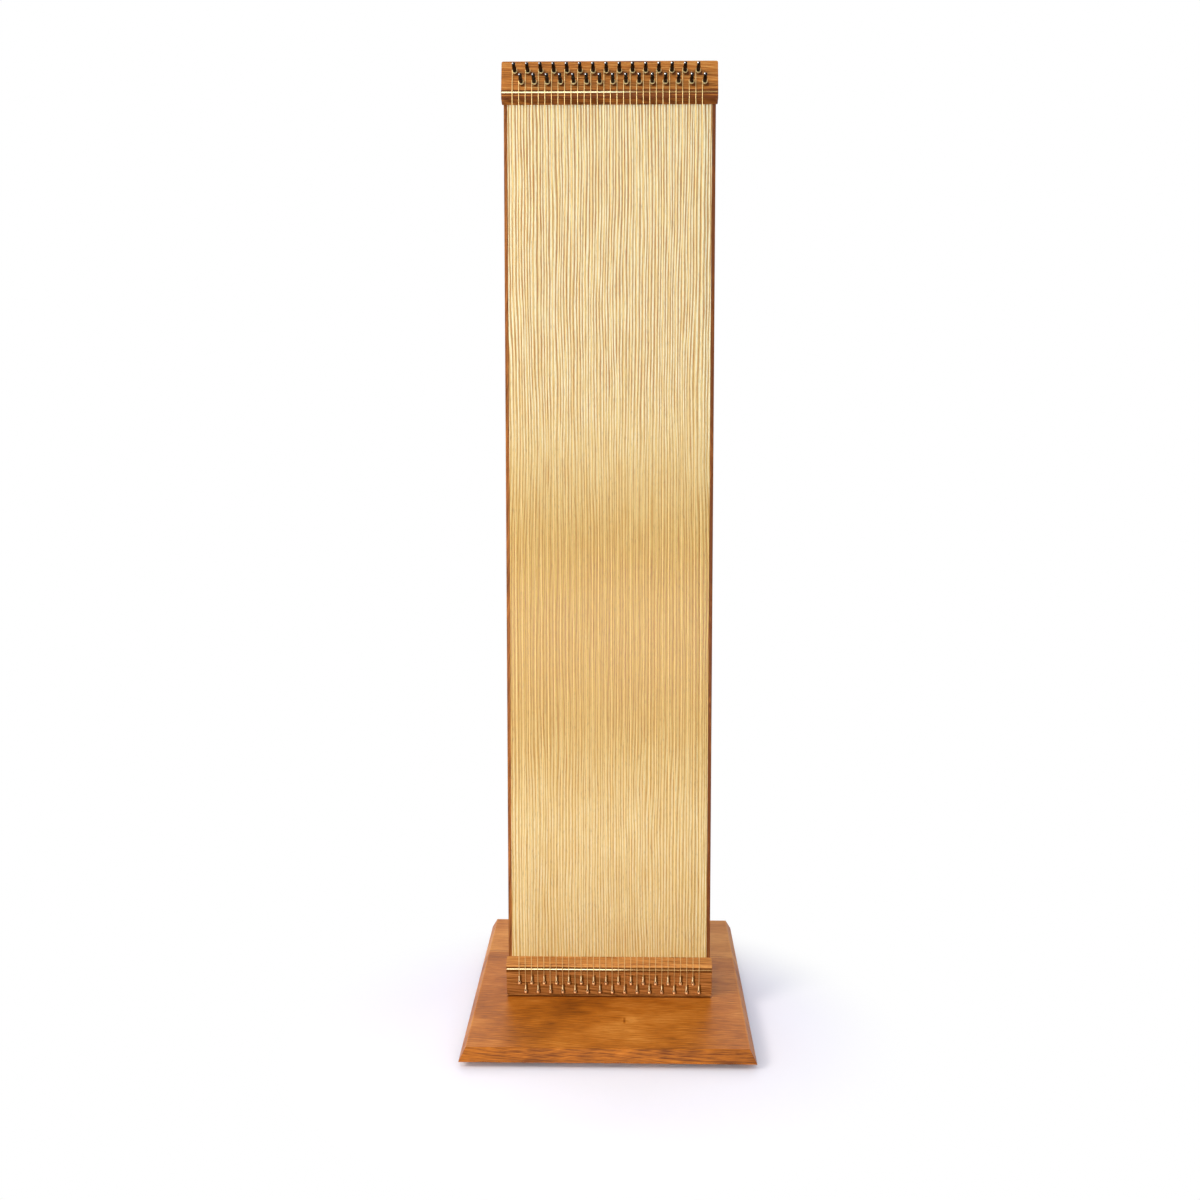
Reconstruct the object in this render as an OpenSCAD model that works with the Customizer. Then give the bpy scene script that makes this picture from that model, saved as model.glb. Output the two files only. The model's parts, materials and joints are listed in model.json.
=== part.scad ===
// Standing monochord: a tall sound box on a bevelled plate, with strings of one pitch between pins.
// +Z is up, the soundboard faces -Y, and the origin is on the floor under the middle of the plate.

/* [Base plate] */
// Width of the plate at its lower edge
plate_w = 356; // [330:2:460]
// Depth of the plate at its lower edge
plate_d = 440; // [380:5:560]
// Thickness of the plate
plate_h = 15; // [12:0.5:26]
// How far the bevel runs in from each edge
plate_bevel = 8; // [3:0.5:14]
// Rounding of the plate's upper and lower edges
plate_round = 1; // [0.4:0.2:2]
// Distance of the glue joint behind the plate's middle
seam_back = 79; // [65:1:120]
// Slant of the glue joint, nearer at the right
seam_slant = 3.2; // [0:0.2:5]
// Diameter of a foot
foot_d = 30; // [22:1:40]
// Height of a foot
foot_h = 8; // [6:0.5:20]
// Distance of a foot's centre from the plate's lower edges
foot_inset = 34; // [26:1:60]
// Diameter of a foot's screw
foot_screw_d = 4; // [3:0.5:5]
// How deep a foot's screw reaches into the plate
foot_screw_grip = 10; // [6:0.5:11]
// Room round its head in the foot's underside
foot_recess_gap = 0.8; // [0.2:0.2:2]
// Chamfer of a foot's lower edge
foot_chamfer = 1; // [0.5:0.1:2]

/* [Sound box] */
// Height of the sound box with its cap
box_h = 1184; // [800:2:1400]
// Depth of the sound box
box_d = 105; // [90:1:130]
// Distance of the soundboard's face behind the plate's front edge
box_setback = 160; // [120:1:190]
// Thickness of a side
side_t = 4.5; // [3.5:0.5:8]
// Thickness of the soundboard
soundboard_t = 4; // [3:0.5:6]
// Thickness of the back panel
back_t = 4; // [3:0.5:6]
// Thickness of the top cap
cap_t = 6; // [4:0.5:12]
// Diameter of the sound hole in the back panel
sound_hole_d = 90; // [60:2:120]
// Height of the end blocks
block_h = 56; // [50:1:80]
// Depth of the top pin block
pin_block_d = 45; // [35:1:60]
// Width of a lining strip
lining_w = 9; // [6:0.5:14]
// Depth of a lining strip
lining_d = 11; // [6:0.5:16]
// Number of braces on each board
brace_count = 3; // [1:1:5]
// Width of a brace
brace_w = 8; // [5:0.5:14]
// Depth of a brace
brace_d = 15; // [10:0.5:24]
// Diameter of a column screw
column_screw_d = 6; // [4:0.5:8]
// How deep a column screw reaches into the bottom end block
column_screw_grip = 35; // [20:1:40]
// Distance of the column screws from the column's middle
column_screw_x = 85; // [50:1:100]
// Distance between the front and rear column screws
column_screw_y = 50; // [30:1:60]

/* [Pin rails] */
// Height of a rail
rail_h = 52; // [50:0.5:70]
// How far a rail stands out past the sides
rail_over = 2; // [0.5:0.5:6]
// Thickness of a rail at its outer end
rail_end_t = 2.6; // [2:0.2:6]
// Thickness of a rail at its crest
rail_crest_t = 12.2; // [9:0.2:18]
// Height of the inner bevel
rail_bevel_h = 5.5; // [3:0.5:9]
// Height of the flat that carries the rod
rail_land_h = 9; // [7:0.5:12]
// Rounding of a rail's edges
rail_round = 1.2; // [0.4:0.2:2]
// Diameter of a bridge rod
rod_d = 2.5; // [2:0.1:4]
// How far a rod's top stands out from the flat
rod_proud = 1; // [0.8:0.1:1.2]
// Distance of a rod's centre from the flat's outer edge
rod_inset = 1.8; // [1.5:0.1:3]
// Distance of a rod's ends from the rail's ends
rod_short = 0.5; // [0:0.5:3]

/* [Strings] */
// Distance between neighbouring strings
string_pitch = 8; // [7.4:0.1:10]
// Distance from the first and last pin to the sides' outer faces
string_margin = 14.5; // [12:0.5:30]
// Diameter of the wire
wire_d = 0.7; // [0.4:0.05:0.8]
// Length of the twisted wire above a loop
twist_len = 8; // [5:0.5:10]

/* [Tuning pins] */
// Diameter of a tuning pin
pin_d = 5; // [4:0.1:5.4]
// How far a pin stands out from the rail
pin_out = 22; // [19:0.5:30]
// How deep a pin reaches in
pin_in = 26; // [22:0.5:32]
// Length of the square head
head_len = 10; // [7:0.5:12]
// Width across the flats at the head's foot
head_foot_w = 4.3; // [3.8:0.1:4.5]
// Slope of the flats
head_taper = 1.6; // [0.5:0.1:2.5]
// Running clearance round a pin
pin_gap = 0.05; // [0.02:0.01:0.1]
// Distance of the upper row from the rail's outer end
pin_row_1 = 13.6; // [11:0.2:15]
// Distance of the lower row from the rail's outer end
pin_row_2 = 27.4; // [24:0.2:29]
// Height of the coil's foot above the rail
coil_lift = 1.6; // [1:0.1:2.4]
// Number of turns in a coil
coil_turns = 3; // [2:1:4]

/* [Hitch pins] */
// Diameter of a hitch pin
hitch_d = 2; // [1.6:0.1:2.4]
// Diameter of its round head
hitch_head_d = 3.6; // [3:0.1:4.2]
// Height of the head's underside above the rail
hitch_lift = 2.8; // [2:0.1:4]
// How deep a hitch pin reaches in
hitch_in = 18; // [12:0.5:24]
// Distance of the lower row from the rail's outer end
hitch_row_1 = 7.5; // [6:0.5:9]
// Distance of the upper row from the rail's outer end
hitch_row_2 = 20.5; // [17:0.5:22]
// Height of a loop's wire above the rail
loop_lift = 0.9; // [0.6:0.1:1.2]

/* [Hidden] */
string_count = 30;
contact = 0.01;
bore_spare = 1;
screw_head = 2;
deck_z = foot_h + plate_h;
top_z = deck_z + box_h;
under_cap_z = top_z - cap_t;
front_y = box_setback - plate_d / 2;
back_y = front_y + box_d;
column_w = (string_count - 1) * string_pitch + 2 * string_margin;
inner_w = column_w - 2 * side_t;
rail_w = column_w + 2 * rail_over;
pin_r = pin_d / 2;
wire_r = wire_d / 2;
bend_r = 1.06 * wire_r;
bend_gap = 0.25 * wire_r;
rod_r = rod_d / 2;
hitch_r = hitch_d / 2;
land_end = rail_h - rail_bevel_h;
land_start = land_end - rail_land_h;
rod_s = land_start + rod_inset;
rod_t = rail_crest_t + rod_proud - rod_r;
lie_t = rail_crest_t + rod_proud + bend_r + contact;
face_angle = atan((rail_crest_t - rail_end_t) / land_start);
coil_r = pin_r + contact + wire_r;
coil_leave = coil_lift + wire_r;
coil_clear = 2.2 * sqrt(coil_r * wire_r);
loop_r = hitch_r + contact + wire_r;
lining_top_z = under_cap_z - block_h;
lining_low_z = deck_z + block_h;
brace_step = (lining_top_z - lining_low_z) / (brace_count + 1);
sound_hole_z = lining_low_z + (ceil(brace_count / 2) + 0.5) * brace_step;
$fn = 32;

function pin_name(i) = str("tuning_pin_", i < 9 ? "0" : "", i + 1);
function string_x(i) = (i - (string_count - 1) / 2) * string_pitch;
function on_upper_row(i) = i % 2 == 0;

// Thickness of the rail's wedge at distance s from its outer end
function wedge_t(s) = rail_end_t + s * tan(face_angle);

// End coordinates are x across, t out of the soundboard's face and s in from the rail's outer end.
// This is the point at height h above the wedge face, and along it from a pin's foot at s.
function over_face(x, s, h, along) = [
    x,
    wedge_t(s) + h * cos(face_angle) + along * sin(face_angle),
    s - h * sin(face_angle) + along * cos(face_angle)
];
function at_top(p) = [p[0], front_y - p[1], top_z - p[2]];
function at_bottom(p) = [p[0], front_y - p[1], deck_z + p[2]];

// Points along a curve that takes the sharp corner q of p, q, r off over the distance d
function eased(p, q, r, d, n = 4) =
    let (u = (p - q) / norm(p - q), v = (r - q) / norm(r - q))
    [for (i = [0:n]) q + u * d * pow(1 - i / n, 2) + v * d * pow(i / n, 2)];
function eased_outline(points, d) = [
    for (i = [0:len(points) - 1])
        let (last = points[(i + len(points) - 1) % len(points)], next = points[(i + 1) % len(points)])
            each eased(last, points[i], next, d[i])
];

// Frames at the two ends of the column: x across, -y out of the soundboard's face, z in from the end.
module top_end() translate([0, front_y, top_z]) mirror([0, 0, 1]) children();
module bottom_end() translate([0, front_y, deck_z]) children();

// Frame at a pin's foot, with z standing out of the wedge face
module pin_foot(x, s) translate([x, -wedge_t(s), s]) rotate([90 + face_angle, 0, 0]) children();

module at_feet()
    for (sx = [-1, 1], sy = [-1, 1])
        translate([sx * (plate_w / 2 - foot_inset), sy * (plate_d / 2 - foot_inset), 0]) children();

module at_column_screws() translate([0, (front_y + back_y) / 2, foot_h])
    for (sx = [-1, 1], sy = [-1, 1])
        translate([sx * column_screw_x, sy * column_screw_y / 2, 0]) children();

module at_tuning_feet()
    for (i = [0:string_count - 1])
        top_end() pin_foot(string_x(i), on_upper_row(i) ? pin_row_1 : pin_row_2) children();

module at_hitch_feet(upper)
    for (i = [0:string_count - 1])
        if (on_upper_row(i) == upper)
            bottom_end() pin_foot(string_x(i), upper ? hitch_row_2 : hitch_row_1) children();

module box(from, to) translate(from) cube(to - from);

// ---- Base plate ----

module plate_section(w) {
    outline = [[-w / 2, 0], [w / 2, 0], [w / 2 - plate_bevel, plate_h], [-w / 2 + plate_bevel, plate_h]];
    polygon(eased_outline(outline, plate_round * [0.5, 0.5, 1, 1]));
}

module plate() translate([0, 0, foot_h]) intersection() {
    rotate([90, 0, 0]) linear_extrude(plate_d, center = true) plate_section(plate_w);
    rotate([90, 0, 90]) linear_extrude(plate_w, center = true) plate_section(plate_d);
}

// Everything behind the glue joint
module behind_seam() translate([0, seam_back, 0]) rotate(-seam_slant)
    box([-plate_w, 0, 0], [plate_w, plate_d, 2 * deck_z]);

module foot_screw_bore() cylinder(d = foot_screw_d, h = foot_h + foot_screw_grip);

module column_screw() {
    cylinder(d1 = screw_head * column_screw_d, d2 = column_screw_d, h = (screw_head - 1) * column_screw_d / 2);
    cylinder(d = column_screw_d, h = plate_h + column_screw_grip);
}

module base_front_board() color("peru") difference() {
    plate();
    behind_seam();
    at_feet() foot_screw_bore();
    at_column_screws() column_screw();
}

module base_rear_board() color("sienna") difference() {
    intersection() {
        plate();
        behind_seam();
    }
    at_feet() foot_screw_bore();
}

module base_feet() color("dimgray") at_feet() difference() {
    union() {
        cylinder(d1 = foot_d - 2 * foot_chamfer, d2 = foot_d, h = foot_chamfer);
        translate([0, 0, foot_chamfer]) cylinder(d = foot_d, h = foot_h - foot_chamfer);
    }
    cylinder(d = screw_head * foot_screw_d + 2 * foot_recess_gap, h = foot_h / 2);
    foot_screw_bore();
}

module foot_screws() color("silver") at_feet() {
    translate([0, 0, (foot_h - foot_screw_d) / 2])
        cylinder(d = screw_head * foot_screw_d, h = foot_screw_d / 2);
    translate([0, 0, foot_h / 2 - contact]) cylinder(d = foot_screw_d, h = foot_h / 2 + foot_screw_grip);
}

module column_screws() color("silver") at_column_screws() column_screw();

// ---- Sound box ----

module side(x) box([x - side_t / 2, front_y, deck_z], [x + side_t / 2, back_y, under_cap_z]);
module left_side() color("saddlebrown") side(-(column_w - side_t) / 2);
module right_side() color("saddlebrown") side((column_w - side_t) / 2);

module top_cap() color("peru")
    box([-column_w / 2, front_y, under_cap_z], [column_w / 2, back_y, top_z]);

module tuning_bores() at_tuning_feet()
    translate([0, 0, -pin_in - bore_spare]) cylinder(r = pin_r + pin_gap, h = 2 * pin_in);
module hitch_bores() for (upper = [false, true])
    at_hitch_feet(upper) translate([0, 0, -hitch_in]) cylinder(r = hitch_r, h = 2 * hitch_in);

module soundboard() color("burlywood") difference() {
    box([-inner_w / 2, front_y, deck_z], [inner_w / 2, front_y + soundboard_t, under_cap_z]);
    tuning_bores();
    hitch_bores();
}

module back_panel() color("burlywood") difference() {
    box([-inner_w / 2, back_y - back_t, deck_z], [inner_w / 2, back_y, under_cap_z]);
    translate([0, back_y, sound_hole_z]) rotate([90, 0, 0])
        cylinder(d = sound_hole_d, h = 4 * back_t, center = true, $fn = 64);
}

module top_pin_block() color("tan") difference() {
    translate([0, front_y + soundboard_t, 0])
        box([-inner_w / 2, 0, lining_top_z], [inner_w / 2, pin_block_d, under_cap_z]);
    tuning_bores();
}

module bottom_end_block() color("tan") difference() {
    box([-inner_w / 2, front_y + soundboard_t, deck_z], [inner_w / 2, back_y - back_t, lining_low_z]);
    hitch_bores();
    at_column_screws() column_screw();
}

module lining_pair(y, z_end) for (sx = [-1, 1]) translate([sx * (inner_w - lining_w) / 2, 0, 0])
    box([-lining_w / 2, y, lining_low_z], [lining_w / 2, y + lining_d, z_end]);
module front_linings() color("wheat") lining_pair(front_y + soundboard_t, lining_top_z);
module back_linings() color("wheat") lining_pair(back_y - back_t - lining_d, under_cap_z);

module braces(y) for (k = [1:brace_count]) translate([0, 0, lining_low_z + k * brace_step])
    box([lining_w - inner_w / 2, y, -brace_w / 2], [inner_w / 2 - lining_w, y + brace_d, brace_w / 2]);
module soundboard_braces() color("wheat") braces(front_y + soundboard_t);
module back_braces() color("wheat") braces(back_y - back_t - brace_d);

// ---- Pin rails and rods ----

module rail_blank() intersection() {
    rotate([90, 0, 90]) linear_extrude(rail_w, center = true) polygon(eased_outline(
        [[0, 0], [-rail_end_t, 0], [-rail_crest_t, land_start], [-rail_crest_t, land_end], [0, rail_h]],
        rail_round * [0, 1, 0.6, 1, 0.3]
    ));
    rotate([90, 0, 0]) linear_extrude(3 * rail_crest_t, center = true) polygon(eased_outline(
        [[-rail_w / 2, 0], [rail_w / 2, 0], [rail_w / 2, rail_h], [-rail_w / 2, rail_h]],
        rail_round * [2.5, 2.5, 1, 1]
    ));
}

module rod() translate([0, -rod_t, rod_s]) rotate([0, 90, 0])
    cylinder(r = rod_r, h = rail_w - 2 * rod_short, center = true);

module top_pin_rail() color("peru") difference() {
    top_end() rail_blank();
    top_end() rod();
    tuning_bores();
}

module bottom_pin_rail() color("peru") difference() {
    bottom_end() rail_blank();
    bottom_end() rod();
    hitch_bores();
}

module top_bridge_rod() color("gold") top_end() rod();
module bottom_bridge_rod() color("gold") bottom_end() rod();

// ---- Pins ----

module hitch_pins(upper) at_hitch_feet(upper) {
    translate([0, 0, -hitch_in]) cylinder(r = hitch_r, h = hitch_in + hitch_lift + contact);
    translate([0, 0, hitch_lift]) intersection() {
        sphere(d = hitch_head_d);
        cylinder(d = 2 * hitch_head_d, h = hitch_head_d);
    }
}
module upper_hitch_pins() color("goldenrod") hitch_pins(true);
module lower_hitch_pins() color("goldenrod") hitch_pins(false);

module square_head() difference() {
    cylinder(r1 = pin_r, r2 = pin_r - head_len * tan(head_taper), h = head_len);
    for (a = [0:90:270]) rotate(a) translate([head_foot_w / 2, -pin_d, 0]) rotate([0, -head_taper, 0])
        cube([pin_d, 2 * pin_d, 2 * head_len]);
}

module coil() translate([0, 0, coil_lift]) difference() {
    cylinder(r = coil_r + wire_r, h = coil_turns * wire_d);
    translate([0, 0, -wire_d]) cylinder(r = pin_r + contact, h = (coil_turns + 2) * wire_d);
}

module tuning_pin(i) top_end() pin_foot(string_x(i), on_upper_row(i) ? pin_row_1 : pin_row_2) {
    color("#202024") translate([0, 0, -pin_in]) cylinder(r = pin_r, h = pin_in + pin_out - head_len);
    color("#202024") translate([0, 0, pin_out - head_len]) square_head();
    color("goldenrod") coil();
}

// ---- Strings ----

// A straight run of wire between two points, whose ends lie inside the balls at the bends
module wire_run(p, q) {
    along = (q - p) / norm(q - p);
    translate(p + bend_gap * along) rotate([0, acos(along[2]), atan2(along[1], along[0])])
        cylinder(r = wire_r, h = norm(q - p) - 2 * bend_gap);
}

// Where the straight runs on both sides of a rod would meet, for a run that drops to point p
function rod_bend(x, p) =
    let (drop = atan((lie_t - p[1]) / (rod_s - p[2])))
    [x, lie_t, rod_s - (rod_r + bend_r + contact) * tan(drop / 2)];

module string(i) {
    x = string_x(i);
    start = over_face(x - coil_r, on_upper_row(i) ? pin_row_1 : pin_row_2, coil_leave, coil_clear);
    loop_s = on_upper_row(i) ? hitch_row_2 : hitch_row_1;
    end = over_face(x, loop_s, loop_lift, loop_r + twist_len / 2);
    path = [
        at_top(start), at_top(rod_bend(x - coil_r, start)),
        at_bottom(rod_bend(x, end)), at_bottom(end)
    ];
    for (k = [0:2]) wire_run(path[k], path[k + 1]);
    for (k = [1:2]) translate(path[k]) sphere(r = bend_r);
    bottom_end() pin_foot(x, loop_s) translate([0, 0, loop_lift]) {
        translate([0, loop_r, 0]) rotate([-90, 0, 0]) cylinder(r = wire_d, h = twist_len);
        rotate_extrude() translate([loop_r, 0]) circle(r = wire_r);
    }
}

module strings(upper) for (i = [0:string_count - 1]) if (on_upper_row(i) == upper) string(i);
module upper_row_strings() color("goldenrod") strings(true);
module lower_row_strings() color("goldenrod") strings(false);

base_front_board();
base_rear_board();
base_feet();
foot_screws();
column_screws();
soundboard();
back_panel();
left_side();
right_side();
top_cap();
top_pin_block();
bottom_end_block();
front_linings();
back_linings();
soundboard_braces();
back_braces();
top_pin_rail();
bottom_pin_rail();
top_bridge_rod();
bottom_bridge_rod();
upper_row_strings();
lower_row_strings();
upper_hitch_pins();
lower_hitch_pins();
for (i = [0:string_count - 1])
    tuning_pin(i);
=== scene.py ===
import json
import math

import bpy
from mathutils import Matrix, Vector


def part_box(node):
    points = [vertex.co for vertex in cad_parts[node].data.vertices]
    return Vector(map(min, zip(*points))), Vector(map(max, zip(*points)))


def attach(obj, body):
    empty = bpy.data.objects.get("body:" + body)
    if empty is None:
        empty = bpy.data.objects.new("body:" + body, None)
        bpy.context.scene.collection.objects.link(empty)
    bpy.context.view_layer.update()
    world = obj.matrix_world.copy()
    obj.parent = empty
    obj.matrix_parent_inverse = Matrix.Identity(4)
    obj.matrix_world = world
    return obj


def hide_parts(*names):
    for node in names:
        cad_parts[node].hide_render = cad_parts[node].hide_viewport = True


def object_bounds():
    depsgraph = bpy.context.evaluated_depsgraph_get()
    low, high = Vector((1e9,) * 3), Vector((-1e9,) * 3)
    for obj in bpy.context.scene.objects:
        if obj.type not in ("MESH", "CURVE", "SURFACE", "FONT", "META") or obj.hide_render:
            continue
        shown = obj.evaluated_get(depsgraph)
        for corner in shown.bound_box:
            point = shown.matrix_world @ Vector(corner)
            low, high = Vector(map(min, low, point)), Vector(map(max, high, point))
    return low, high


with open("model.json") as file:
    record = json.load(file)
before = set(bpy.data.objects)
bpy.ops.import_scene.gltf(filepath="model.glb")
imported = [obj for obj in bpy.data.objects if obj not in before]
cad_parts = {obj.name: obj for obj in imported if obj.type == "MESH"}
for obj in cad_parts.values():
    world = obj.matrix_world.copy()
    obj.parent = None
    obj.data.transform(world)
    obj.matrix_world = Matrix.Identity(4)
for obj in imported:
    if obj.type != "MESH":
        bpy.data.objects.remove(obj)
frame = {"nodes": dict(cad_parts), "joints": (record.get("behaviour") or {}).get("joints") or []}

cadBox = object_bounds()
nodes = frame["nodes"]
joints = frame["joints"]
scene = bpy.context.scene
mm = 0.001


def toLinear(hexColour):
    channels = [int(hexColour[k:k + 2], 16) / 255 for k in (0, 2, 4)]
    linear = [c / 12.92 if c <= 0.04045 else ((c + 0.055) / 1.055) ** 2.4 for c in channels]
    return (*linear, 1.0)


# inputs are values, or the outputs of earlier nodes; a ramp's stops are (position, colour) pairs
def addNode(tree, kind, inputs, stops=None, **settings):
    node = tree.nodes.new("ShaderNode" + kind)
    for name, value in settings.items():
        setattr(node, name, value)
    for socket, value in inputs.items():
        if isinstance(value, bpy.types.NodeSocket):
            tree.links.new(value, node.inputs[socket])
        else:
            node.inputs[socket].default_value = value
    for k, (position, colour) in enumerate(stops or []):
        stop = node.color_ramp.elements[k] if k < 2 else node.color_ramp.elements.new(position)
        stop.position = position
        stop.color = colour
    return node.outputs[0] if node.outputs else node


def newMaterial(name):
    material = bpy.data.materials.new(name)
    material.use_nodes = True
    material.node_tree.nodes.clear()
    return material, material.node_tree


def dress(nodeNames, material):
    for name in nodeNames:
        piece = nodes[name]
        for slot in piece.material_slots:
            slot.material = material


cameraSettings = {
    "lens": 42.5,
    "sensor": 36.0,
    "shiftUp": -0.057,
    "place": (0.0214, -1.8405, 0.7883),
    "tilt": 84.87,
    "turn": 1.07,
}


def placeCamera(look):
    data = bpy.data.cameras.new("camera")
    data.lens = look["lens"]
    data.sensor_width = look["sensor"]
    data.shift_y = look["shiftUp"]
    camera = bpy.data.objects.new("camera", data)
    camera.location = look["place"]
    camera.rotation_euler = (math.radians(look["tilt"]), 0, math.radians(look["turn"]))
    scene.collection.objects.link(camera)
    scene.camera = camera


placeCamera(cameraSettings)
print("camera placed")


studio = {
    "worldLight": 0.6,          # how strongly the white room lights the object
    "worldTint": "f4f8ff",
    "floorColour": "ecedfb",
    "floorSize": 9.0,
    "floorMiddle": (-0.02, -0.11, 0.0),
    "floorFade": (0.22, 0.4),    # it turns into the white backdrop between these distances from its middle
}
lamps = {
    "strip": {"place": (-0.45, -1.9, 2.4), "aim": (-0.45, 0.0, 0.6),
              "size": (0.86, 0.7), "glow": 4.4, "tint": "fff8ea"},
    "key": {"place": (-2.1, -1.75, 2.0), "aim": (0.0, 0.0, 0.7),
            "size": (0.9, 0.9), "glow": 21.4, "tint": "fff3e0"},
    "window": {"place": (-0.05, -3.5, 1.4), "aim": (-0.05, 0.0, 1.4),
               "size": (1.2, 1.8), "glow": 2.2, "tint": "b4ecff"},
    "low": {"place": (0.0, -1.05, 0.34), "aim": (0.0, 0.0, 0.1),
            "size": (0.9, 0.3), "glow": 4.6, "tint": "fff4e4"},
    "rear": {"place": (-0.2, 2.2, 2.0), "aim": (0.0, 0.2, 0.1),
             "size": (2.6, 1.2), "glow": 2.6, "tint": "fffaf4"},
}


def addLamp(name, look):
    width, height = look["size"]
    data = bpy.data.lights.new(name, "AREA")
    data.shape = "RECTANGLE"
    data.size = width
    data.size_y = height
    data.energy = look["glow"] * math.pi * width * height    # a lamp of glow 1 looks as bright as white paper
    data.color = toLinear(look["tint"])[:3]
    lamp = bpy.data.objects.new(name, data)
    lamp.location = look["place"]
    lamp.rotation_euler = (Vector(look["aim"]) - lamp.location).to_track_quat("-Z", "Y").to_euler()
    lamp.visible_camera = False
    scene.collection.objects.link(lamp)


def makeWorld(look):
    world = bpy.data.worlds.new("white room")
    world.use_nodes = True
    tree = world.node_tree
    tree.nodes.clear()
    rays = tree.nodes.new("ShaderNodeLightPath").outputs
    seen = addNode(tree, "Math", {0: rays["Is Camera Ray"], 1: rays["Is Glossy Ray"]}, operation="MAXIMUM")
    seen = addNode(tree, "Math", {0: seen, 1: rays["Is Transmission Ray"]}, operation="MAXIMUM")
    lit = addNode(tree, "Background", {"Color": toLinear(look["worldTint"]), "Strength": look["worldLight"]})
    white = addNode(tree, "Background", {"Color": (1, 1, 1, 1), "Strength": 1.0})
    both = addNode(tree, "MixShader", {0: seen, 1: lit, 2: white})
    addNode(tree, "OutputWorld", {"Surface": both})
    scene.world = world


def makeFloor(look):
    material, tree = newMaterial("matt white paper floor")
    coords = tree.nodes.new("ShaderNodeTexCoord").outputs["Object"]
    addNode(tree, "VectorMath", {0: coords, 1: look["floorMiddle"]}, operation="DISTANCE")
    away = tree.nodes[-1].outputs["Value"]
    near, far = look["floorFade"]
    fade = addNode(tree, "MapRange", {"Value": away, "From Min": near, "From Max": far},
                   interpolation_type="SMOOTHSTEP")
    isCamera = tree.nodes.new("ShaderNodeLightPath").outputs["Is Camera Ray"]
    fade = addNode(tree, "Math", {0: fade, 1: isCamera}, operation="MULTIPLY")
    paper = addNode(tree, "BsdfDiffuse", {"Color": toLinear(look["floorColour"])})
    white = addNode(tree, "Emission", {"Color": (1, 1, 1, 1), "Strength": 1.0})
    both = addNode(tree, "MixShader", {0: fade, 1: paper, 2: white})
    addNode(tree, "OutputMaterial", {"Surface": both})
    half = look["floorSize"] / 2
    mesh = bpy.data.meshes.new("floor")
    corners = [(-half, -half, 0), (half, -half, 0), (half, half, 0), (-half, half, 0)]
    mesh.from_pydata(corners, [], [(0, 1, 2, 3)])
    mesh.materials.append(material)
    floor = bpy.data.objects.new("floor", mesh)
    scene.collection.objects.link(floor)


makeWorld(studio)
makeFloor(studio)
for lampName, lampLook in lamps.items():
    addLamp(lampName, lampLook)
scene.view_settings.view_transform = "Standard"
print("studio lit")


# woods

# Every wood is cut from one round trunk in thought, so its lines run on from face to face.
# grain is the way the fibres run; heart is where the trunk's middle lies, across the grain.
# All lengths are in mm: ring is the width of a year, bend and quiver say how far and over what
# length the lines wander, slope is how fast the trunk tapers, fibre and pore are length and width.
cherry = {
    "dark": "69350d", "mid": "b0651b", "light": "cf8a3e", "stops": (0.1, 0.5, 0.9),
    "heart": (-330.0, -95.0), "slope": 0.1, "ring": 2.8, "ringEven": 0.5, "jitter": 4.0, "ringContrast": 0.6,
    "bend": (18.0, 190.0, 60.0), "quiver": (1.4, 42.0, 14.0),
    "fibre": (46.0, 1.1), "fibreContrast": 0.8, "blotch": (110.0, 38.0), "blotchContrast": 0.8,
    "pore": (6.0, 0.9), "poreDark": 0.2, "shine": 0.15, "rough": 0.42, "bump": 0.05,
}
ash = {
    "dark": "a36c28", "mid": "c7a660", "light": "e5dbb4", "stops": (0.0, 0.42, 1.0),
    "heart": (-20.0, -330.0), "ring": 3.65, "ringEven": 1.0, "jitter": 0.9, "ringContrast": 2.0,
    "bend": (16.0, 420.0, 70.0), "quiver": (5.0, 110.0, 20.0),
    "fibre": (40.0, 0.8), "fibreContrast": 1.7, "blotch": (140.0, 45.0), "blotchContrast": 0.12,
    "pore": (7.0, 0.7), "poreDark": 0.26, "shine": 0.5, "rough": 0.22, "bump": 0.04,
    "faint": {"where": {"Z": (200.0, 480.0, 220.0)}, "share": 0.52},      # the lines are fainter low down
    "tint": {"where": {"Z": (510.0, 45.0, 235.0)}, "colour": "dfc87c"},  # and the wood yellower in the middle
}
beech = {
    "dark": "a8713f", "mid": "cc9a66", "light": "dfb485", "stops": (0.15, 0.5, 0.9),
    "heart": (60.0, -90.0), "ring": 3.1, "ringEven": 0.5, "jitter": 3.0, "ringContrast": 0.35,
    "bend": (10.0, 160.0, 50.0), "quiver": (1.0, 40.0, 12.0),
    "fibre": (30.0, 0.9), "fibreContrast": 0.4, "blotch": (90.0, 30.0), "blotchContrast": 0.3,
    "pore": (3.2, 0.6), "poreDark": 0.3, "shine": 0.2, "rough": 0.55, "bump": 0.06,
}
spruce = {
    "dark": "c08a4c", "mid": "e2c08a", "light": "f0d9ab", "stops": (0.1, 0.5, 0.85),
    "heart": (-30.0, 260.0), "ring": 1.8, "ringEven": 0.9, "jitter": 1.6, "ringContrast": 1.3,
    "bend": (6.0, 400.0, 90.0), "quiver": (0.5, 120.0, 25.0),
    "fibre": (70.0, 0.7), "fibreContrast": 0.5, "blotch": (150.0, 50.0), "blotchContrast": 0.15,
    "pore": (4.0, 0.5), "poreDark": 0.06, "shine": 0.15, "rough": 0.6, "bump": 0.05,
}


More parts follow.
